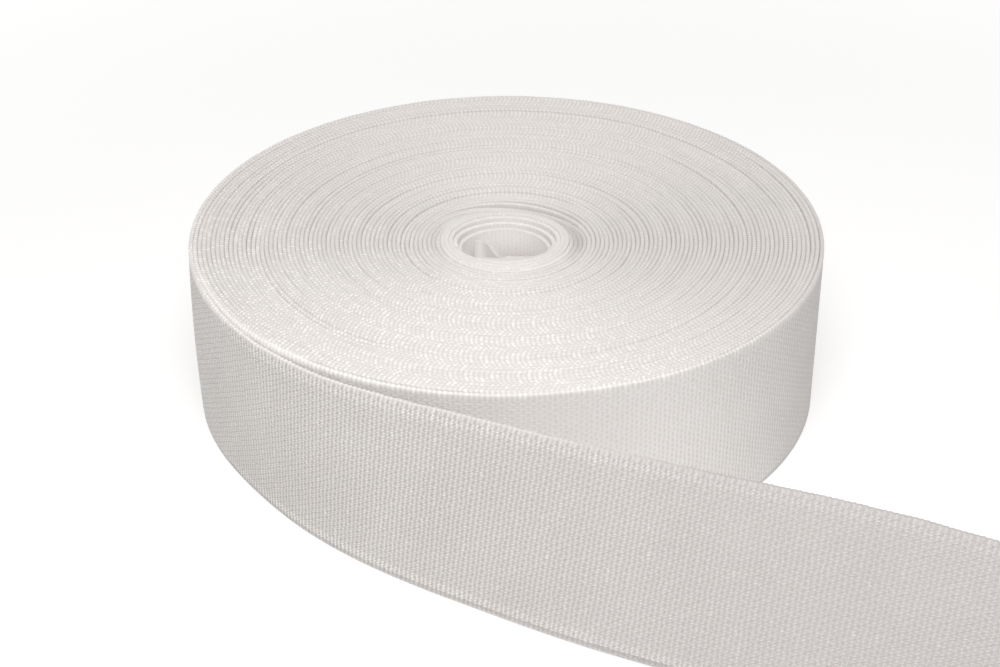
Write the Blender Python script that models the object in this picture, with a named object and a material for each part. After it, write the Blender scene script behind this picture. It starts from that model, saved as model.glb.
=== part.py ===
"""Roll of woven upholstery webbing, lying flat, with its outer end pulled out.

One piece of 50 mm tape: about sixty turns wound without a core, the outermost
turn peeling off at the front and running away on its edge, and the innermost
end standing bent into the centre hole.  The wound turns are one body of their
common form; metres, +Z up, resting on z = 0, centred on the footprint.

Azimuths are seen from above, counter-clockwise from +X; the tape winds
outwards counter-clockwise.
"""
import bpy
import bmesh
from math import cos, sin, pi, radians

MM = 0.001

# ---------------------------------------------------------------- main sizes
TAPE_WIDTH = 50.0        # mm, standing upright in the roll
TAPE_THICKNESS = 1.2     # mm
ROLL_RADIUS = 89.8       # mm, outer face of the outermost turn
HOLE_RADIUS = 11.5       # mm, inner face of the innermost turn
COLUMNS = 96             # steps around the roll
TAIL_STARTS = -150.0     # deg, where the outermost turn leaves the roll
FLAP_STARTS = -90.0      # deg, where the innermost end leaves the hole's wall
SINK_CENTRE = 62.0       # deg, middle of the crescent where turns have sunk
SINK_HALF = 88.0         # deg, half its spread
BOTTOM_RING = 45.0       # mm, a construction ring on the flat underside

# The top of the turns, from the rim inwards: the pile is dished, a group of
# turns near the hole has sunk on one side, and the last two turns have slipped
# down into the hole everywhere but at the front.  Heights in mm at the front
# (-Y) and at the back (+Y); sink is the extra drop in the middle of the crescent.
TURN_TOPS = [
    # radius  centre_x  centre_y  front   back  sink
    (88.60,    0.00,     0.00,    50.0,   50.0,  0.0),
    (72.00,   -0.10,    -0.80,    49.2,   49.3,  0.0),
    (54.00,   -0.20,    -1.70,    48.3,   48.5,  0.0),
    (38.00,   -0.35,    -2.40,    47.6,   47.7,  0.0),
    (25.00,   -0.45,    -3.10,    47.0,   47.2,  0.0),
    (23.60,   -0.45,    -3.10,    47.0,   47.0,  2.2),
    (19.20,   -0.45,    -3.10,    47.4,   47.0,  1.8),
    (17.80,   -0.45,    -3.10,    47.8,   47.8,  0.0),
    (15.00,   -0.45,    -3.10,    48.4,   46.6,  0.0),
]
HOLE_CENTRE = (-0.45, -3.10)
HOLE_TOP_FRONT = 48.3
HOLE_TOP_BACK = 44.4
HOLE_TOP_FALL = 3.0      # how soon the hole's edge falls from its front to its back

# The pulled-out end: heading of its lower edge in plan and its lean back
# towards the roll, by distance along the tape from where it leaves.
TAIL_COURSE = [
    # distance  heading  lean
    (0.0,       -60.5,    0.0),
    (10.0,      -56.0,    0.0),
    (20.0,      -53.5,    0.5),
    (32.0,      -49.5,    2.3),
    (45.0,      -43.5,    5.1),
    (58.0,      -38.3,    8.6),
    (72.0,      -33.8,   12.2),
    (88.0,      -30.4,   15.3),
    (108.0,     -30.0,   18.0),
    (135.0,     -24.7,   22.3),
    (170.0,     -20.6,   24.0),
    (222.0,     -31.0,   24.0),
    (255.0,     -31.0,   24.0),
]
TAIL_LENGTH = 252.0      # mm
TAIL_STEP = 9.0          # mm between sections

# The inner end: a short bend off the wall, a straight run across the hole
# and a small hook at the cut end.
FLAP_COURSE = [
    # distance  heading  top
    (0.0,       180.0,   48.3),
    (1.0,       125.0,   47.9),
    (2.5,       108.0,   47.3),
    (5.0,       108.0,   46.6),
    (12.0,      108.0,   46.2),
    (14.5,      126.0,   46.0),
    (16.3,      160.0,   45.9),
    (18.0,      200.0,   45.7),
]
FLAP_LENGTH = 18.0
FLAP_STEP = 1.3


def table(rows, x, column):
    """Read a column of a table at x, straight between its rows."""
    if x <= rows[0][0]:
        return rows[0][column]
    for a, b in zip(rows, rows[1:]):
        if x <= b[0]:
            t = (x - a[0]) / (b[0] - a[0])
            return a[column] + t * (b[column] - a[column])
    return rows[-1][column]


def azimuth(column, start):
    return radians(start + 360.0 * column / COLUMNS)


def crescent(az):
    """1 in the middle of the sunken crescent, 0 outside it."""
    d = (az - radians(SINK_CENTRE) + pi) % (2 * pi) - pi
    if abs(d) >= radians(SINK_HALF):
        return 0.0
    return cos(0.5 * pi * d / radians(SINK_HALF)) ** 2


def level(front, back, az, fall=1.0):
    return back + (front - back) * (0.5 * (1 - sin(az))) ** fall


def course(rows, length, step, x, y):
    """Walk along a tape end: sections (x, y, heading, value) every step."""
    out = []
    n = int(round(length / step))
    fine = 20
    for i in range(1, n + 1):
        for k in range(fine):
            s = (i - 1 + (k + 0.5) / fine) * length / n
            h = radians(table(rows, s, 1))
            x += cos(h) * length / n / fine
            y += sin(h) * length / n / fine
        s = i * length / n
        out.append((x, y, radians(table(rows, s, 1)), table(rows, s, 2)))
    return out


def add(bm, x, y, z):
    return bm.verts.new((x * MM, y * MM, z * MM))


def ring(bm, radius, cx, cy, height, start):
    """A closed ring of COLUMNS points whose height follows the azimuth."""
    out = []
    for j in range(COLUMNS):
        az = azimuth(j, start)
        out.append(add(bm, cx + radius * cos(az), cy + radius * sin(az), height(az)))
    return out


def spiral_edge(bm, inner, growth, cx, cy, height, start):
    """COLUMNS + 1 points: the last is one tape outside the first."""
    out = []
    for j in range(COLUMNS + 1):
        az = azimuth(j, start)
        r = inner + growth * j / COLUMNS
        out.append(add(bm, cx + r * cos(az), cy + r * sin(az), height(az)))
    return out


def bridge(bm, a, b):
    """Quads between two closed rings of the same azimuths."""
    n = len(a)
    for j in range(n):
        bm.faces.new((a[j], a[(j + 1) % n], b[(j + 1) % n], b[j]))


def rotate_to(points, start_from, start_to):
    """The same ring, listed from another azimuth."""
    k = int(round((start_to - start_from) / 360.0 * COLUMNS)) % COLUMNS
    return points[k:] + points[:k]


def cap_outer(bm, closed, edge):
    """Join a closed ring to the spiral edge outside it."""
    n = COLUMNS
    for j in range(n):
        a, b = closed[j], closed[(j + 1) % n]
        if j < n - 1:
            bm.faces.new((a, b, edge[j + 1], edge[j]))
        else:
            bm.faces.new((a, b, edge[0], edge[n], edge[j]))


def cap_inner(bm, closed, edge):
    """Join a closed ring to the spiral edge inside it."""
    n = COLUMNS
    for j in range(n):
        a, b = closed[j], closed[(j + 1) % n]
        if j > 0:
            bm.faces.new((a, b, edge[j + 1], edge[j]))
        else:
            bm.faces.new((a, b, edge[1], edge[0], edge[n]))


def wall(bm, top, low):
    for j in range(COLUMNS):
        bm.faces.new((top[j], top[j + 1], low[j + 1], low[j]))


def strip(bm, sections):
    """A tape end from sections of four corners, closed at its cut end."""
    for a, b in zip(sections, sections[1:]):
        for k in range(4):
            bm.faces.new((a[k], a[(k + 1) % 4], b[(k + 1) % 4], b[k]))
    bm.faces.new(sections[-1])


def build_roll(bm):
    hx, hy = HOLE_CENTRE
    t = TAPE_THICKNESS

    # top of the turns, from the rim to the hole
    rim_top = spiral_edge(bm, ROLL_RADIUS - t, t, 0, 0,
                          lambda az: TAPE_WIDTH, TAIL_STARTS)
    rings = []
    for radius, cx, cy, front, back, sink in TURN_TOPS[1:]:
        rings.append(ring(bm, radius, cx, cy,
                          lambda az, f=front, b=back, s=sink:
                          level(f, b, az) - s * crescent(az), TAIL_STARTS))
    cap_outer(bm, rings[0], rim_top)
    for a, b in zip(rings, rings[1:]):
        bridge(bm, a, b)
    hole_top = spiral_edge(bm, HOLE_RADIUS, t, hx, hy,
                           lambda az: level(HOLE_TOP_FRONT, HOLE_TOP_BACK, az,
                                            HOLE_TOP_FALL),
                           FLAP_STARTS)
    cap_inner(bm, rotate_to(rings[-1], TAIL_STARTS, FLAP_STARTS), hole_top)

    # flat underside and the two walls
    rim_low = spiral_edge(bm, ROLL_RADIUS - t, t, 0, 0, lambda az: 0.0, TAIL_STARTS)
    middle = ring(bm, BOTTOM_RING, 0, 0, lambda az: 0.0, TAIL_STARTS)
    hole_low = spiral_edge(bm, HOLE_RADIUS, t, hx, hy, lambda az: 0.0, FLAP_STARTS)
    cap_outer(bm, middle, rim_low)
    cap_inner(bm, rotate_to(middle, TAIL_STARTS, FLAP_STARTS), hole_low)
    wall(bm, rim_top, rim_low)
    wall(bm, hole_top, hole_low)

    # the pulled-out end, from the outermost turn
    n = COLUMNS
    az = radians(TAIL_STARTS)
    sections = [(rim_low[n], rim_top[n], rim_top[0], rim_low[0])]
    for x, y, heading, lean in course(TAIL_COURSE, TAIL_LENGTH, TAIL_STEP,
                                      ROLL_RADIUS * cos(az), ROLL_RADIUS * sin(az)):
        lean = radians(lean)
        inx, iny = -sin(heading), cos(heading)      # towards the roll
        low = t * sin(lean)
        w = TAPE_WIDTH - 0.02
        outer_low = add(bm, x, y, low)
        outer_top = add(bm, x + w * sin(lean) * inx, y + w * sin(lean) * iny,
                        low + w * cos(lean))
        bx, by = t * cos(lean) * inx, t * cos(lean) * iny
        inner_top = add(bm, x + w * sin(lean) * inx + bx, y + w * sin(lean) * iny + by,
                        low + w * cos(lean) - t * sin(lean))
        inner_low = add(bm, x + bx, y + by, 0.0)
        sections.append((outer_low, outer_top, inner_top, inner_low))
    strip(bm, sections)

    # the inner end, standing in the hole
    az = radians(FLAP_STARTS)
    sections = [(hole_low[n], hole_top[n], hole_top[0], hole_low[0])]
    for x, y, heading, top in course(FLAP_COURSE, FLAP_LENGTH, FLAP_STEP,
                                     hx + (HOLE_RADIUS + 0.5 * t) * cos(az),
                                     hy + (HOLE_RADIUS + 0.5 * t) * sin(az)):
        sx, sy = -sin(heading) * 0.5 * t, cos(heading) * 0.5 * t
        sections.append((add(bm, x + sx, y + sy, 0.0), add(bm, x + sx, y + sy, top),
                         add(bm, x - sx, y - sy, top), add(bm, x - sx, y - sy, 0.0)))
    strip(bm, sections)


def fabric(name, colour, roughness):
    mat = bpy.data.materials.new(name)
    mat.use_nodes = True
    bsdf = mat.node_tree.nodes["Principled BSDF"]
    bsdf.inputs["Base Color"].default_value = (*colour, 1.0)
    bsdf.inputs["Roughness"].default_value = roughness
    bsdf.inputs["Metallic"].default_value = 0.0
    return mat


def main():
    for old in list(bpy.data.objects):
        bpy.data.objects.remove(old, do_unlink=True)
    parts = bpy.data.collections.new("webbing_roll_parts")
    bpy.context.scene.collection.children.link(parts)

    bm = bmesh.new()
    build_roll(bm)
    bmesh.ops.recalc_face_normals(bm, faces=bm.faces[:])

    # stand the origin at the middle of the footprint
    xs = [v.co.x for v in bm.verts]
    ys = [v.co.y for v in bm.verts]
    shift = (-0.5 * (min(xs) + max(xs)), -0.5 * (min(ys) + max(ys)), 0.0)
    bmesh.ops.translate(bm, verts=bm.verts[:], vec=shift)

    mesh = bpy.data.meshes.new("webbing_roll")
    bm.to_mesh(mesh)
    bm.free()
    mesh.shade_smooth()
    mesh.set_sharp_from_angle(angle=radians(35))
    roll = bpy.data.objects.new("webbing_roll", mesh)
    roll.data.materials.append(fabric("woven_white", (0.84, 0.82, 0.80), 0.85))
    parts.objects.link(roll)


main()
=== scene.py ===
import bpy
import numpy as np
from math import cos, sin, pi, radians
from mathutils import Matrix, Vector


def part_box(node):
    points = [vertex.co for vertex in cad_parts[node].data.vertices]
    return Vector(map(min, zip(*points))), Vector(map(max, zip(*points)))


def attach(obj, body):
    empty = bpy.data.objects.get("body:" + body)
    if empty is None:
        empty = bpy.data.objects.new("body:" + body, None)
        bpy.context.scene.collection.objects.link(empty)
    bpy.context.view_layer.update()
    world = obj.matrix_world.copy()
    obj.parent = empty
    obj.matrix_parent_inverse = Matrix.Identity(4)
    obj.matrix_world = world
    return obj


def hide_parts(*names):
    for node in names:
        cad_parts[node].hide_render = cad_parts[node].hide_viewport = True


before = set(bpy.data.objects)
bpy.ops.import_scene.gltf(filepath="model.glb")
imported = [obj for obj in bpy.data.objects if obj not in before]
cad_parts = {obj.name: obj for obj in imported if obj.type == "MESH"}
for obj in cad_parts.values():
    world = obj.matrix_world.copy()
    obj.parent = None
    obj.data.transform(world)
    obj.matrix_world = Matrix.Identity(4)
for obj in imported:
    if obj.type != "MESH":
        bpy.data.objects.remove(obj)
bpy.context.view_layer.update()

MM = 0.001

# ------------------------------------------------------------------ sizes, mm
# The same figures as the solid's: the tape stands upright in the roll, its
# turns wind outwards counter-clockwise seen from above, azimuths are from +X.
TAPE_WIDTH = 50.0
ROLL_RADIUS = 89.8       # outer face of the outermost turn where it leaves
LAST_TURN = 1.2          # how far the outermost turn moves out in one round
HOLE_RADIUS = 11.5
HOLE_CENTRE = (-0.45, -3.10)
TAIL_STARTS = -150.0     # deg
TURNS = 61.0 + 300.0 / 360.0     # from there in to the inner end, at -90 deg
SINK_CENTRE, SINK_HALF = 62.0, 88.0
CLOTH = 1.235            # one layer in the wound turns, pressed together
OUTER_CLOTH = 1.19       # the last turn and the loose end
WEFT = 1.335             # one pick along the tape
WARP = 1.62              # one pair of ends across it

low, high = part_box("webbing_roll")
AXIS = np.array([low[0] / MM + ROLL_RADIUS - LAST_TURN + LAST_TURN * 330 / 360,
                 high[1] / MM - (ROLL_RADIUS - LAST_TURN + LAST_TURN * 240 / 360)])

TURN_TOPS = np.array([
    # radius  centre_x  centre_y  front   back  sink
    (12.70,   -0.45,    -3.10,    48.3,   43.3,  0.0),
    (15.00,   -0.45,    -3.10,    48.4,   45.8,  0.0),
    (17.80,   -0.45,    -3.10,    47.8,   47.8,  0.0),
    (19.20,   -0.45,    -3.10,    47.4,   47.0,  1.8),
    (23.60,   -0.45,    -3.10,    47.0,   47.0,  2.2),
    (25.00,   -0.45,    -3.10,    47.0,   47.2,  0.0),
    (38.00,   -0.35,    -2.40,    47.6,   47.7,  0.0),
    (54.00,   -0.20,    -1.70,    48.3,   48.5,  0.0),
    (72.00,   -0.10,    -0.80,    49.2,   49.3,  0.0),
    (88.60,    0.00,     0.00,    50.0,   50.0,  0.0),
])
TAIL_COURSE = np.array([
    # distance  heading  lean
    (0.0,       -60.5,    0.0),
    (10.0,      -56.0,    0.0),
    (20.0,      -53.5,    0.5),
    (32.0,      -49.5,    2.3),
    (45.0,      -43.5,    4.3),
    (58.0,      -38.3,    7.1),
    (72.0,      -33.8,   10.0),
    (88.0,      -30.4,   13.1),
    (108.0,     -30.0,   16.4),
    (135.0,     -24.7,   21.8),
    (170.0,     -20.6,   24.0),
    (222.0,     -31.0,   24.0),
    (255.0,     -31.0,   24.0),
])
TAIL_LENGTH = 252.0
FLAP_COURSE = np.array([
    # distance  heading  top
    (0.0,       180.0,   48.3),
    (1.0,       125.0,   47.9),
    (2.5,       108.0,   47.3),
    (5.0,       108.0,   46.6),
    (12.0,      108.0,   46.2),
    (14.5,      126.0,   46.0),
    (16.3,      160.0,   45.9),
    (18.0,      200.0,   45.7),
])
FLAP_LENGTH = 18.0

# Turns whose edge has slipped below their neighbours', by the place where it
# shows: azimuths are where the slip begins and ends.
SLIPS = [
    # radius  from   to   depth  spread
    (84.5,   -35.0,  35.0,  0.45, 1.4),
    (78.5,    8.0,   58.0,  0.55, 3.0),
    (77.6,   150.0, 203.0,  0.6,  1.6),
    (75.5,   -40.0,  12.0,  0.45, 1.4),
    (71.4,   168.0, 248.0,  1.25, 2.3),
    (66.8,   -2.0,   50.0,  0.6,  1.6),
    (66.2,   160.0, 215.0,  0.45, 1.4),
    (63.7,   -45.0,  20.0,  0.45, 1.4),
    (54.0,   -40.0,  25.0,  0.45, 1.6),
    (45.0,   165.0, 212.0,  0.5,  1.4),
    (45.7,   -35.0,  30.0,  0.45, 1.6),
    (36.9,   165.0, 228.0,  0.6,  1.4),
    (36.7,   -40.0,  40.0,  0.45, 1.6),
    (31.2,   -30.0,  50.0,  0.5,  1.4),
    (30.5,   170.0, 232.0,  0.6,  1.4),
    (27.0,   168.0, 235.0,  0.7,  1.4),
    (13.8,   182.0, 238.0,  1.6,  1.1),
]


def column(rows, x, k):
    return np.interp(x, rows[:, 0], rows[:, k])


def smooth_noise(x, rng, knots):
    """Random values at whole numbers, eased between them; x is an array."""
    v = rng.uniform(-1, 1, knots + 2)
    i = np.clip(np.floor(x).astype(int), 0, knots)
    f = x - np.floor(x)
    f = f * f * (3 - 2 * f)
    return v[i] * (1 - f) + v[i + 1] * f


def crescent(az):
    d = (az - radians(SINK_CENTRE) + pi) % (2 * pi) - pi
    d = np.clip(np.abs(d) / radians(SINK_HALF), 0, 1)
    return np.cos(0.5 * pi * d) ** 2


def top_of(radius, az):
    """Height of the pile of turns at a radius and an azimuth."""
    front, back, sink = (column(TURN_TOPS, radius, k) for k in (3, 4, 5))
    fall = 1.0 + 2.0 * np.clip((15.0 - radius) / 2.3, 0, 1)
    level = back + (front - back) * (0.5 * (1 - np.sin(az))) ** fall
    return level - sink * crescent(az)


def slip_of(radius, az):
    """How far a turn has slipped below its neighbours."""
    out = np.zeros_like(radius)
    deg = np.degrees(az)
    for r, a, b, depth, spread in SLIPS:
        mid, half = 0.5 * (a + b), 0.5 * (b - a)
        d = np.abs((deg - mid + 180) % 360 - 180) / half
        along = np.clip(1 - d, 0, 1)
        along = np.minimum(along * 3, 1)
        along = along * along * (3 - 2 * along)
        across = np.exp(-((radius - r) / spread) ** 2)
        out = np.maximum(out, depth * along * across)
    return out


# ------------------------------------------------------------ the tape's body
def strip(name, base, heading, floor, lean, profile, u, v):
    """A closed strip of cloth through stations along the tape.

    base is the outer face's lower edge in plan, profile(i) a list of
    (across, depth) in mm with depth counted inwards from the outer face, and
    u, v the distances along the tape and round its section.
    """
    n, m = len(base), len(v)
    side = np.stack([np.sin(heading), -np.cos(heading)], -1)        # inwards
    across, depth = profile                                        # (n, m) each
    ca, sa = np.cos(lean)[:, None], np.sin(lean)[:, None]
    plan = across * sa + depth * ca
    z = floor[:, None] + across * ca - depth * sa
    x = base[:, 0:1] + side[:, 0:1] * plan + AXIS[0]
    y = base[:, 1:2] + side[:, 1:2] * plan + AXIS[1]
    verts = np.stack([x, y, z], -1).reshape(-1, 3) * MM

    i = np.arange(n - 1)[:, None] * m
    k = np.arange(m)[None]
    k2 = (k + 1) % m
    quads = np.stack([i + k, i + k2, i + m + k2, i + m + k], -1).reshape(-1, 4)
    mesh = bpy.data.meshes.new(name)
    nq = len(quads)
    loops = quads.reshape(-1)
    starts = np.arange(nq) * 4
    totals = np.full(nq, 4)
    first = np.arange(m)[::-1]                                     # cut ends
    last = np.arange(m) + (n - 1) * m
    loops = np.concatenate([loops, first, last])
    starts = np.concatenate([starts, [4 * nq, 4 * nq + m]])
    totals = np.concatenate([totals, [m, m]])
    mesh.vertices.add(len(verts))
    mesh.vertices.foreach_set("co", verts.reshape(-1))
    mesh.loops.add(len(loops))
    mesh.loops.foreach_set("vertex_index", loops)
    mesh.polygons.add(len(starts))
    mesh.polygons.foreach_set("loop_start", starts)
    mesh.polygons.foreach_set("loop_total", totals)
    mesh.update(calc_edges=True)

    # distances along and across the cloth, in metres, for its weave
    uv = mesh.uv_layers.new(name="tape")
    vv = np.append(v, v[-1] + (v[1] - v[0]))                      # round the seam
    station = loops // m
    spot = loops % m
    cu, cv = u[station], v[spot]
    quad_corner = np.arange(4 * nq) % 4
    wrap = (spot[:4 * nq] == 0) & ((quad_corner == 1) | (quad_corner == 2))
    cv[:4 * nq][wrap] = vv[-1]
    uv.data.foreach_set("uv", (np.stack([cu, cv], -1) * MM).reshape(-1))
    mesh.polygons.foreach_set("use_smooth", np.ones(len(starts), bool))
    obj = bpy.data.objects.new(name, mesh)
    bpy.context.scene.collection.objects.link(obj)
    return obj


def wound_radius(turn):
    """Radius of the outer face, by turns counted in from the tail's root."""
    pitch = (ROLL_RADIUS - LAST_TURN - HOLE_RADIUS - LAST_TURN) / (TURNS - 1)
    return np.where(turn <= 1, ROLL_RADIUS - LAST_TURN * turn,
                    ROLL_RADIUS - LAST_TURN - pitch * (turn - 1))


# ---- the turns of the roll and the inner end, from under the last turn inwards
STEPS = 116
SEAM = 0.93                                  # turns in, under the last turn
EDGE = [(0.0, 0.75), (0.05, 0.31), (0.22, 0.09), (0.50, 0.0), (0.78, 0.09),
        (0.95, 0.31), (1.0, 0.75)]           # across a layer's top, how low
FOOT = [(1.0, 0.6), (0.78, 0.10), (0.5, 0.0), (0.22, 0.10), (0.0, 0.6)]
rng = np.random.default_rng(41)
count = int((TURNS - SEAM) * STEPS) + 1
turn = SEAM + (TURNS - SEAM) * np.arange(count) / (count - 1)
az = radians(TAIL_STARTS) - 2 * pi * turn
radius = wound_radius(turn)
calm = np.clip((turn - SEAM) / 2.5, 0, 1) * np.clip((TURNS - turn) / 1.0, 0, 1)
radius = radius + calm * (0.016 * smooth_noise(turn * 3.7, rng, 260)
                          + 0.006 * smooth_noise(turn * 11.3, rng, 760))
# the first turns press out against the end that peels off them
off = np.abs((np.degrees(az) - (TAIL_STARTS + 14.0) + 180) % 360 - 180)
press = np.clip(1 - off / 46.0, 0, 1)
press = press * press * (3 - 2 * press)
radius = radius + 0.40 * press * np.clip((4.3 - turn) / 4.0, 0, 1) * np.clip((turn - SEAM) * 9, 0, 1)
for i in range(count - 1, -1, -1):           # no turn bites into the next
    j = i + STEPS
    if j < count:
        radius[i] = max(radius[i], radius[j] + CLOTH + 0.005)
centre = np.stack([column(TURN_TOPS, radius, 1), column(TURN_TOPS, radius, 2)], -1)
base = centre + radius[:, None] * np.stack([np.cos(az), np.sin(az)], -1)
top = top_of(radius, az)
lift = (0.20 * smooth_noise(turn * 1.9, rng, 130)
        + 0.12 * smooth_noise(turn * 6.1, rng, 400)
        + 0.16 * smooth_noise(turn * 0.43, rng, 40))
proud = 0.6 * np.exp(-((np.degrees(az) + 112.0 + 180) % 360 - 180) ** 2 / 38.0 ** 2)
top = top + proud * np.clip((radius - 78.0) / 9.0, 0, 1)
near_hole = 0.35 + 0.65 * np.clip((radius - 18.0) / 12.0, 0, 1)
top = top + lift * near_hole * np.clip((turn - SEAM) / 1.5, 0.25, 1) - slip_of(radius, az)
foot = 0.16 * (1 + smooth_noise(turn * 2.3, rng, 160))

# the inner end carries on from the last station of the hole
flap_n = 22
s = (np.arange(flap_n) + 1) * FLAP_LENGTH / flap_n
fine = 12
fs = (np.arange(flap_n * fine) + 0.5) * FLAP_LENGTH / flap_n / fine
fh = np.radians(column(FLAP_COURSE, fs, 1))
step = FLAP_LENGTH / flap_n / fine
path = np.cumsum(np.stack([np.cos(fh), np.sin(fh)], -1) * step, 0)[fine - 1::fine]
heading = az - pi / 2
heading_flap = np.radians(column(FLAP_COURSE, s, 1))
mid0 = base[-1] + 0.5 * CLOTH * np.array([np.sin(heading[-1]), -np.cos(heading[-1])])
mids = mid0 + path
flap_base = mids - 0.5 * CLOTH * np.stack([np.sin(heading_flap), -np.cos(heading_flap)], -1)
flap_top = column(FLAP_COURSE, s, 2)

base = np.concatenate([base, flap_base])
heading = np.concatenate([heading, heading_flap])
top = np.concatenate([top, flap_top])
foot = np.concatenate([foot, np.full(flap_n, foot[-1])])
n = len(base)
along = np.concatenate([[0], np.cumsum(np.hypot(*np.diff(base, axis=0).T))])
U_SEAM = TAIL_LENGTH + 2 * pi * (ROLL_RADIUS - 0.6) * SEAM
height = top - foot
soft = 0.12 + 0.88 * np.clip((np.append(radius, np.full(flap_n, radius[-1])) - 17.0) / 11.0, 0, 1)
across = np.concatenate([
    np.stack([height - d * soft for _, d in EDGE], -1),
    np.stack([np.full(n, d) for _, d in FOOT], -1)], -1)
depth = np.concatenate([
    np.tile([f * CLOTH for f, _ in EDGE], (n, 1)),
    np.tile([f * CLOTH for f, _ in FOOT], (n, 1))], -1)
v_round = np.array([49.1, 49.75, 50.05, 50.3, 50.55, 50.85, 51.5,
                    100.0, 100.6, 100.9, 101.2, 101.8])
U_HOLE = U_SEAM + along[-1] - FLAP_LENGTH - 2 * pi * (HOLE_RADIUS + CLOTH)
U_BENT = U_SEAM + along[-1] - FLAP_LENGTH
wound = strip("wound_turns", base, heading, foot, np.zeros(n),
              (across, depth), U_SEAM + along, v_round)

# ---- the last turn and the loose end, from its cut end to where the turns begin
FINE = WEFT / 4
tail_n = int(TAIL_LENGTH / FINE)
ts = TAIL_LENGTH * (np.arange(tail_n * 6) + 0.5) / (tail_n * 6)
th = np.radians(column(TAIL_COURSE, ts, 1))
root = ROLL_RADIUS * np.array([cos(radians(TAIL_STARTS)), sin(radians(TAIL_STARTS))])
walk = np.cumsum(np.stack([np.cos(th), np.sin(th)], -1) * TAIL_LENGTH / (tail_n * 6), 0)[5::6]
tail_pts = root + walk
tail_s = TAIL_LENGTH * (np.arange(tail_n) + 1) / tail_n
tail_heading = np.radians(column(TAIL_COURSE, tail_s, 1)) + pi
tail_lean = np.radians(column(TAIL_COURSE, tail_s, 2))

LAST = 1.0 + 12.0 / 360.0                    # the last turn, and a little under it
last_n = int(2 * pi * ROLL_RADIUS * LAST / FINE)
lt = LAST * np.arange(last_n) / (last_n - 1)
laz = radians(TAIL_STARTS) - 2 * pi * lt
lr = ROLL_RADIUS - LAST_TURN * lt
# the layer under the peeling end swells out to touch it
swell = np.clip((lt - 0.80) / 0.06, 0, 1) * np.clip((1.02 - lt) / 0.05, 0, 1)
lr = lr + 0.45 * swell * swell * (3 - 2 * swell)
last_pts = lr[:, None] * np.stack([np.cos(laz), np.sin(laz)], -1)

o_base = np.concatenate([tail_pts[::-1], last_pts])
o_heading = np.concatenate([tail_heading[::-1], laz - pi / 2])
o_lean = np.concatenate([tail_lean[::-1], np.zeros(last_n)])
n = len(o_base)
# ease the headings across the root, where the cloth bends off the roll
pad = 26
k = np.ones(2 * pad + 1) / (2 * pad + 1)
o_heading = np.convolve(np.pad(np.unwrap(o_heading), pad, mode="edge"), k, mode="valid")
ou = np.concatenate([[0], np.cumsum(np.hypot(*np.diff(o_base, axis=0).T))])
o_floor = OUTER_CLOTH * np.sin(o_lean)
loop = np.cos(2 * pi * ou / WEFT)            # weft loops along both selvedges
rng = np.random.default_rng(5)
pick = np.floor(ou / WEFT + 0.5).astype(int)
each = rng.uniform(0.5, 1.25, pick.max() + 2)[pick]
wander = 0.10 * smooth_noise(ou / 9.0, rng, 120) + 0.05 * smooth_noise(ou / 2.9, rng, 340)
ridge = 0.11 * loop * each
rows_up = np.array([1.6, 5.0, 10.0, 16.0, 23.0, 30.0, 37.0, 43.0, 47.0, 48.6])
full = np.full(n, TAPE_WIDTH - 0.10)
full = full + np.where(ou < TAIL_LENGTH, wander, wander * 0.6)
under = np.clip((ou - TAIL_LENGTH - 2 * pi * ROLL_RADIUS * 0.70) / 60.0, 0, 1)
full = full + 0.6 * under * under * (3 - 2 * under)      # where it peels off
full = full - 0.9 * np.exp(-((ou - TAIL_LENGTH + 28.0) / np.where(ou < TAIL_LENGTH - 28.0, 46.0, 30.0)) ** 2)
edge_pts = [(0.0, 0.60), (0.05, 0.24), (0.22, 0.06), (0.50, 0.0), (0.78, 0.06),
            (0.95, 0.24), (1.0, 0.60)]
foot_pts = [(1.0, 0.7), (0.80, 0.14), (0.5, 0.0), (0.20, 0.14), (0.0, 0.7)]
wave = 0.35 * smooth_noise(ou / 46.0, rng, 40)
parts_a, parts_d, parts_v = [], [], []
belly = np.clip((ou - TAIL_LENGTH) / 20.0, 0, 1) * np.exp(-((ou - TAIL_LENGTH - 20) / 60.0) ** 2)
for r in rows_up:
    parts_a.append(full * r / 50.0)
    bulge = -0.55 * belly * sin(pi * r / 50.0)
    parts_d.append(bulge)
    parts_v.append(r)
for f, d in edge_pts:
    parts_a.append(full - d + ridge * (1 if 0.04 < f < 0.96 else 0.4))
    parts_d.append(np.full(n, f * OUTER_CLOTH) - 0.05 * loop * each * (1 if f < 0.3 else 0))
    parts_v.append(50.0 + (f - 0.5) * OUTER_CLOTH + (-d if f < 0.5 else d if f > 0.5 else 0))
for r in rows_up[::-2]:
    parts_a.append(full * r / 50.0)
    parts_d.append(np.full(n, OUTER_CLOTH) - 0.55 * belly * sin(pi * r / 50.0))
    parts_v.append(101.1 - r)
for f, d in foot_pts:
    parts_a.append(np.full(n, d))
    parts_d.append(np.full(n, f * OUTER_CLOTH))
    parts_v.append(101.1 + (0.5 - f) * OUTER_CLOTH + (-d if f > 0.5 else d if f < 0.5 else 0))
outer = strip("loose_end_and_last_turn", o_base, o_heading, o_floor, o_lean,
              (np.stack(parts_a, -1), np.stack(parts_d, -1)), ou, np.array(parts_v))


# -------------------------------------------------------------------- material
U_PEEL = TAIL_LENGTH + 2 * pi * ROLL_RADIUS * 0.80      # under the peeling end


def far_wall_painted_shade(math, ramp, u):
    """The right-hand part of the wall, painted greyer as painted shade."""
    return math("MULTIPLY", ramp(u, U_PEEL - 20.0, U_PEEL - 110.0),
                ramp(u, U_PEEL - 260.0, U_PEEL - 190.0))


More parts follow.
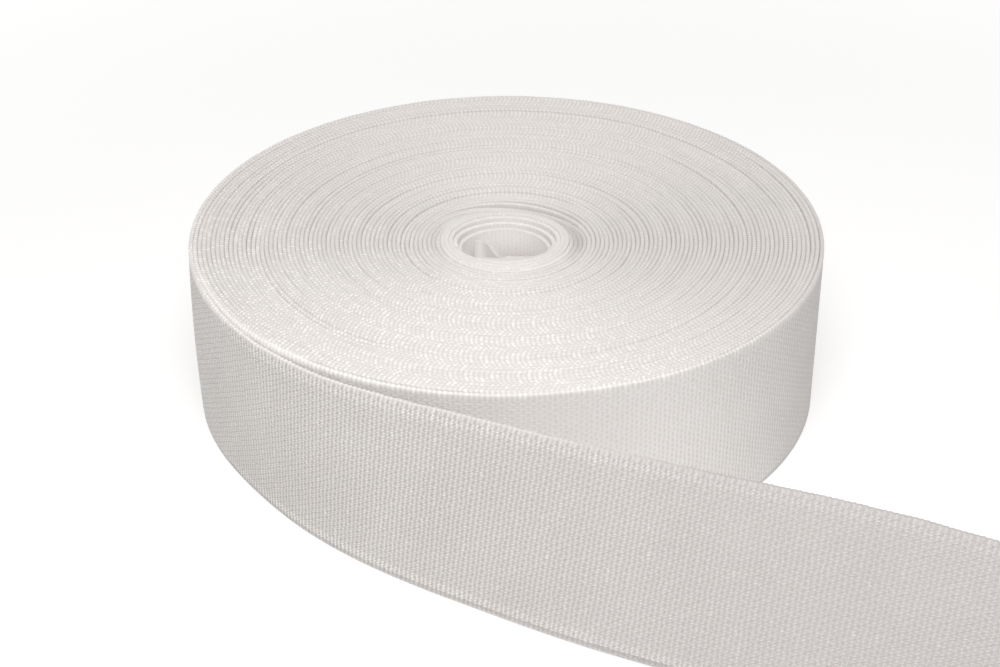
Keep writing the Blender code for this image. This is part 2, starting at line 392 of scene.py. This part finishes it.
def woven_white():
    mat = bpy.data.materials.new("woven_white_webbing")
    mat.use_nodes = True
    nt = mat.node_tree
    nodes, links = nt.nodes, nt.links
    bsdf = nodes["Principled BSDF"]

    def put(socket, value):
        if isinstance(value, bpy.types.NodeSocket):
            links.new(value, socket)
        else:
            socket.default_value = value

    def math(op, a, b=None, c=None, clamp=False):
        node = nodes.new("ShaderNodeMath")
        node.operation = op
        node.use_clamp = clamp
        put(node.inputs[0], a)
        if b is not None:
            put(node.inputs[1], b)
        if c is not None:
            put(node.inputs[2], c)
        return node.outputs[0]

    def noise(vector, scale, detail=2.0, rough=0.5):
        node = nodes.new("ShaderNodeTexNoise")
        node.noise_dimensions = "3D"
        put(node.inputs["Vector"], vector)
        node.inputs["Scale"].default_value = scale
        node.inputs["Detail"].default_value = detail
        node.inputs["Roughness"].default_value = rough
        return node.outputs["Fac"]

    def ramp(value, lo, hi):
        node = nodes.new("ShaderNodeMapRange")
        node.interpolation_type = "SMOOTHSTEP"
        put(node.inputs["Value"], value)
        node.inputs["From Min"].default_value = lo
        node.inputs["From Max"].default_value = hi
        return node.outputs["Result"]

    def combine(x, y, z=0.0):
        node = nodes.new("ShaderNodeCombineXYZ")
        put(node.inputs[0], x)
        put(node.inputs[1], y)
        put(node.inputs[2], z)
        return node.outputs[0]

    uv = nodes.new("ShaderNodeUVMap")
    uv.uv_map = "tape"
    split = nodes.new("ShaderNodeSeparateXYZ")
    links.new(uv.outputs["UV"], split.inputs[0])
    u = math("MULTIPLY", split.outputs[0], 1000.0)           # mm along the tape
    v = math("MULTIPLY", split.outputs[1], 1000.0)           # mm across it
    flat = combine(u, v)

    # yarns wander a little from their places
    drift = math("MULTIPLY", math("SUBTRACT", noise(flat, 0.35, 1.0), 0.5), 0.9)
    drift2 = math("MULTIPLY", math("SUBTRACT", noise(combine(v, u, 7.0), 0.30, 1.0), 0.5), 0.9)
    uu = math("ADD", u, drift)
    vv = math("ADD", v, drift2)

    # the inner turns have their relief flattened, and round the hole they are painted lighter
    # as painted light for the light that fills the hole, the innermost most of all
    inside = ramp(u, U_HOLE - 30.0, U_HOLE)
    inner = ramp(u, U_HOLE - 620.0, U_HOLE - 420.0)
    calmer = ramp(u, U_HOLE - 1650.0, U_HOLE - 1300.0)
    # along the tape: the loose end, whose free part is painted greyer as painted shade, the far half of the
    # wall, and the cloth under the peeling end, painted lighter as painted light where the loose end leaves
    # the roll
    loose = ramp(u, TAIL_LENGTH + 8.0, TAIL_LENGTH - 14.0)
    # painted shade: the loose end's free part is painted greyer towards its cut end
    tail_painted_shade = ramp(u, TAIL_LENGTH - 20.0, TAIL_LENGTH - 210.0)
    wedge_painted_light = math("MULTIPLY", ramp(u, U_PEEL - 105.0, U_PEEL + 5.0),
                 ramp(u, U_PEEL + 175.0, U_PEEL + 125.0))

    # the face: picks as narrow ribs across the tape, each seen as a row of
    # slanting dashes, with a pit between each pair of ends, staggered from one
    # pick to the next
    lean = math("SINE", math("MULTIPLY", vv, 4 * pi / WARP))
    rib = math("COSINE", math("MULTIPLY_ADD", lean, 0.75, math("MULTIPLY", uu, 2 * pi / WEFT)))
    narrow = math("POWER", math("MULTIPLY_ADD", rib, 0.5, 0.5), 1.6)
    row = math("COSINE", math("MULTIPLY", vv, 2 * pi / WARP))
    pit = math("MULTIPLY", math("SINE", math("MULTIPLY", uu, pi / WEFT)), row)
    dash = math("COSINE", math("MULTIPLY", vv, 4 * pi / WARP))
    ribs = math("MULTIPLY", narrow, math("MULTIPLY_ADD", dash, 0.36, 0.98))
    pits = math("MULTIPLY", pit, math("MULTIPLY_ADD", loose, -0.08, 0.32))
    face = math("ADD", math("ADD", ribs, -0.42), math("MULTIPLY_ADD", row, 0.06, pits))
    face = math("MULTIPLY", face, math("MULTIPLY_ADD", math("MAXIMUM", math("MAXIMUM", inside, calmer), math("MULTIPLY", wedge_painted_light, 0.5)), -0.72, 1.0))

    # the selvedges: each pick turns over as a loop
    d_top = math("ABSOLUTE", math("SUBTRACT", v, 50.0))
    d_low = math("MINIMUM", math("ABSOLUTE", math("SUBTRACT", v, 101.1)), math("ABSOLUTE", v))
    d_edge = math("MINIMUM", d_top, d_low)
    edge = math("SUBTRACT", 1.0, ramp(math("MULTIPLY_ADD", loose, 0.7, d_edge), 1.1, 2.2))
    loops = math("COSINE", math("MULTIPLY", math("ADD", u, math("MULTIPLY", drift, 0.5)), 2 * pi / WEFT))

    relief = math("ADD", math("MULTIPLY", face, math("SUBTRACT", 1.0, edge)),
                  math("MULTIPLY", loops, math("MULTIPLY", edge, math("MULTIPLY_ADD", calmer, -0.17, 0.22))))
    fuzz = noise(combine(math("MULTIPLY", u, 2.2), math("MULTIPLY", v, 5.0)), 1.0, 3.0, 0.6)
    relief_all = math("ADD", relief, math("MULTIPLY", fuzz, 0.35))

    bump = nodes.new("ShaderNodeBump")
    bump.inputs["Strength"].default_value = 1.0
    bump.inputs["Distance"].default_value = 0.00016
    links.new(relief_all, bump.inputs["Height"])
    links.new(bump.outputs["Normal"], bsdf.inputs["Normal"])

    # light yarn crests, painted shade in the pits of the weave over its own darker ground, and painted
    # glints: single bright picks
    shade = math("MULTIPLY_ADD", relief, math("MULTIPLY_ADD", calmer, -0.22, 0.48), 0.33)
    pick = math("FLOOR", math("DIVIDE", math("ADD", u, WEFT / 2), WEFT))
    turns = math("MULTIPLY", math("FLOOR", math("DIVIDE", v, 50.0)), 3.0)
    white = nodes.new("ShaderNodeTexWhiteNoise")
    white.noise_dimensions = "2D"
    links.new(combine(pick, turns), white.inputs["Vector"])
    place = nodes.new("ShaderNodeTexCoord")
    spot = nodes.new("ShaderNodeSeparateXYZ")
    links.new(place.outputs["Object"], spot.inputs[0])
    toward = math("MULTIPLY_ADD", spot.outputs[0], -6.1, 6.1 * AXIS[0] * MM)
    toward = math("ADD", toward, math("MULTIPLY_ADD", spot.outputs[1], -9.2, 9.2 * AXIS[1] * MM))
    front_left = ramp(toward, -0.10, 0.75)       # -1 to 1 across the roll
    # painted glints: single bright picks on the top edges, most of them on the front-left of the roll
    painted_glint_picks = math("MULTIPLY", ramp(white.outputs["Value"], 0.55, 1.0),
                  math("MULTIPLY", edge, math("MULTIPLY_ADD", front_left, 0.75, 0.25)))
    painted_glint_picks = math("MULTIPLY", painted_glint_picks, math("MULTIPLY_ADD", loose, -0.8, 1.0))
    # painted light: the top edges are lighter on the front-left of the roll
    front_left_painted_light = math("MULTIPLY", math("MULTIPLY", edge, front_left), 0.10)
    # painted glints: single bright yarn points on the face
    glint = nodes.new("ShaderNodeTexWhiteNoise")
    glint.noise_dimensions = "2D"
    end = math("FLOOR", math("DIVIDE", v, WARP / 2))
    links.new(combine(pick, end), glint.inputs["Vector"])
    painted_glint_specks = math("MULTIPLY", math("MULTIPLY", ramp(glint.outputs["Value"], 0.965, 0.99),
                                   math("SUBTRACT", 1.0, inside)),
                  math("MULTIPLY", narrow, math("SUBTRACT", 1.0, edge)))
    tone = math("MULTIPLY_ADD", noise(flat, 0.045, 2.0), 0.20, -0.10)
    # the loose end's own selvedge: a plain greyish band on its free part, and a
    # row of longer bright floats below it
    free = ramp(u, TAIL_LENGTH - 105.0, TAIL_LENGTH - 165.0)
    band = math("MULTIPLY", free, math("SUBTRACT", 1.0, ramp(d_edge, 0.6, 1.1)))
    floats = math("MULTIPLY", math("MULTIPLY", ramp(d_edge, 1.3, 1.8), ramp(d_edge, 4.2, 2.8)),
                  math("MULTIPLY", loose, narrow))
    # painted soft shade lies on the sunk turns round the hole, on the right, less on the left,
    # and painted shade darkens the hole with depth
    dx = math("MULTIPLY_ADD", spot.outputs[0], 1000.0, -(AXIS[0] + HOLE_CENTRE[0]))
    dy = math("MULTIPLY_ADD", spot.outputs[1], 1000.0, -(AXIS[1] + HOLE_CENTRE[1]))
    far = math("SQRT", math("ADD", math("MULTIPLY", dx, dx), math("MULTIPLY", dy, dy)))
    ring = math("MULTIPLY", ramp(far, 17.0, 19.4), ramp(far, 23.4, 20.6))
    facing = math("DIVIDE", math("MULTIPLY_ADD", dx, 0.90, math("MULTIPLY", dy, 0.44)), far)
    leftward = math("MULTIPLY", ramp(math("DIVIDE", dx, far), -0.75, -1.0), 0.35)
    sunk = math("MULTIPLY", ring, math("MAXIMUM", ramp(facing, 0.35, 0.97), leftward))
    deep = math("MULTIPLY", math("MULTIPLY", inside, ramp(u, U_BENT + 2.0, U_BENT)),
                ramp(v, 54.0, 63.5))
    # the level sums painted shade round and in the hole, painted light in the hole and where the loose end
    # leaves the roll, and painted glints
    parts = [shade, tone, math("MULTIPLY", sunk, -0.30), math("MULTIPLY", deep, -0.32),
             # the selvedges are lighter than the face: partly the loops' own colour, partly painted light
             # for the brighter top of the roll
             math("MULTIPLY", edge, math("MULTIPLY_ADD", free, -0.15,
                                         math("MULTIPLY_ADD", inside, -0.30, 0.17))),
             math("MULTIPLY", math("MAXIMUM", inside, math("MULTIPLY", inner, 0.38)), 0.30),
             math("MULTIPLY", painted_glint_picks, math("MULTIPLY_ADD", loops, 0.20, 0.20)),
             front_left_painted_light, math("MULTIPLY", painted_glint_specks, 0.28),
             math("MULTIPLY", wedge_painted_light, math("MULTIPLY_ADD", edge, -0.52, 0.70)),
             math("MULTIPLY", band, -0.40), math("MULTIPLY", floats, 0.30)]
    level = parts[0]
    for part in parts[1:]:
        level = math("ADD", level, part)
    level = math("ADD", level, 0.0, clamp=True)

    def blend(factor, a, b):
        node = nodes.new("ShaderNodeMix")
        node.data_type = "RGBA"
        put(node.inputs["Factor"], factor)
        put(node.inputs["A_Color"] if "A_Color" in node.inputs else node.inputs["A"], a)
        put(node.inputs["B_Color"] if "B_Color" in node.inputs else node.inputs["B"], b)
        return node.outputs["Result"]

    yarn = blend(level, (0.50, 0.473, 0.455, 1), (0.975, 0.950, 0.935, 1))
    # painted shade: the loose end's free part and the right-hand part of the wall are blended towards grey
    painted_shade_grey = math("ADD", math("MULTIPLY", tail_painted_shade, 0.60),
                  math("MULTIPLY", far_wall_painted_shade(math, ramp, u), 0.30))
    yarn = blend(painted_shade_grey, yarn, (0.52, 0.492, 0.492, 1))
    links.new(yarn, bsdf.inputs["Base Color"])

    bsdf.inputs["Roughness"].default_value = 0.62
    bsdf.inputs["Specular IOR Level"].default_value = 0.42
    bsdf.inputs["Sheen Weight"].default_value = 0.12
    bsdf.inputs["Sheen Roughness"].default_value = 0.45
    return mat


cloth = woven_white()
for piece in (wound, outer):
    piece.data.materials.append(cloth)
    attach(piece, "root")
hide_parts("webbing_roll")
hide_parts("webbing_roll")

# ------------------------------------------------------------ floor and light
floor_mat = bpy.data.materials.new("pale_floor")
floor_mat.use_nodes = True
fb = floor_mat.node_tree.nodes["Principled BSDF"]
fb.inputs["Base Color"].default_value = (0.55, 0.55, 0.55, 1)
fb.inputs["Roughness"].default_value = 0.9
fb.inputs["Emission Color"].default_value = (1, 1, 1, 1)
# the sweep glows a little more away from the object, like a lit backdrop
fn, fl = floor_mat.node_tree.nodes, floor_mat.node_tree.links
where = fn.new("ShaderNodeTexCoord")
reach = fn.new("ShaderNodeVectorMath")
reach.operation = "LENGTH"
glow = fn.new("ShaderNodeMapRange")
glow.interpolation_type = "SMOOTHSTEP"
glow.inputs["From Min"].default_value = 0.22
glow.inputs["From Max"].default_value = 0.75
glow.inputs["To Min"].default_value = 0.50
glow.inputs["To Max"].default_value = 0.78
fl.new(where.outputs["Object"], reach.inputs[0])
fl.new(reach.outputs["Value"], glow.inputs["Value"])
fl.new(glow.outputs["Result"], fb.inputs["Emission Strength"])
floor_mesh = bpy.data.meshes.new("floor")
floor_mesh.from_pydata([(-6, -6, 0), (6, -6, 0), (6, 6, 0), (-6, 6, 0)], [], [(0, 1, 2, 3)])
floor_mesh.materials.append(floor_mat)
floor = bpy.data.objects.new("floor", floor_mesh)
bpy.context.scene.collection.objects.link(floor)

world = bpy.data.worlds.new("studio")
bpy.context.scene.world = world
world.use_nodes = True
world.node_tree.nodes["Background"].inputs["Color"].default_value = (1, 0.995, 0.99, 1)
world.node_tree.nodes["Background"].inputs["Strength"].default_value = 0.31


def area(name, place, aim, size, power, colour=(1, 1, 1)):
    data = bpy.data.lights.new(name, "AREA")
    data.shape = "RECTANGLE"
    data.size, data.size_y = size
    data.energy = power
    data.color = colour
    obj = bpy.data.objects.new(name, data)
    obj.location = place
    obj.rotation_mode = "QUATERNION"
    obj.rotation_quaternion = (Vector(aim) - Vector(place)).to_track_quat("-Z", "Y")
    bpy.context.scene.collection.objects.link(obj)
    return obj


area("key_above", (0.00, -0.12, 1.45), (0, 0.0, 0.02), (1.0, 0.8), 6.9, (1, 0.985, 0.97))
area("key_front", (-0.06, -0.60, 0.80), (-0.01, 0.0, 0.03), (0.5, 0.4), 5.3, (1, 0.985, 0.97))

# a snooted lamp beside the front key opens up the centre hole
snoot = bpy.data.lights.new("hole_light", "SPOT")
snoot.energy = 4.4
snoot.spot_size = radians(2.6)
snoot.spot_blend = 1.0
snoot.shadow_soft_size = 0.03
snoot_obj = bpy.data.objects.new("hole_light", snoot)
snoot_from = Vector((0.02, -0.75, 0.78))
snoot_at = Vector((AXIS[0] * MM, (AXIS[1] + 6.0) * MM, 0.041))
snoot_obj.location = snoot_from
snoot_obj.rotation_mode = "QUATERNION"
snoot_obj.rotation_quaternion = (snoot_at - snoot_from).to_track_quat("-Z", "Y")
bpy.context.scene.collection.objects.link(snoot_obj)

# --------------------------------------------------------------------- camera
FOCAL = 1980.0 * 36.0 / 1000.0
PITCH, ROLL = 0.54388, -0.00379
forward = Vector((0, cos(PITCH), -sin(PITCH)))
right = Vector((1, 0, 0))
up = right.cross(forward)
cam_x = right * cos(ROLL) + up * sin(ROLL)
cam_y = up * cos(ROLL) - right * sin(ROLL)
cam_data = bpy.data.cameras.new("camera")
cam_data.lens = FOCAL
cam_data.sensor_width = 36.0
cam_data.clip_start, cam_data.clip_end = 0.02, 30.0
camera = bpy.data.objects.new("camera", cam_data)
turned = Matrix((cam_x, cam_y, -forward)).transposed().to_4x4()
turned.translation = Vector(((AXIS[0] - 2.19) * MM, (AXIS[1] - 496.48) * MM, 314.55 * MM))
camera.matrix_world = turned
bpy.context.scene.collection.objects.link(camera)
bpy.context.scene.camera = camera
bpy.context.scene.view_settings.view_transform = "Standard"
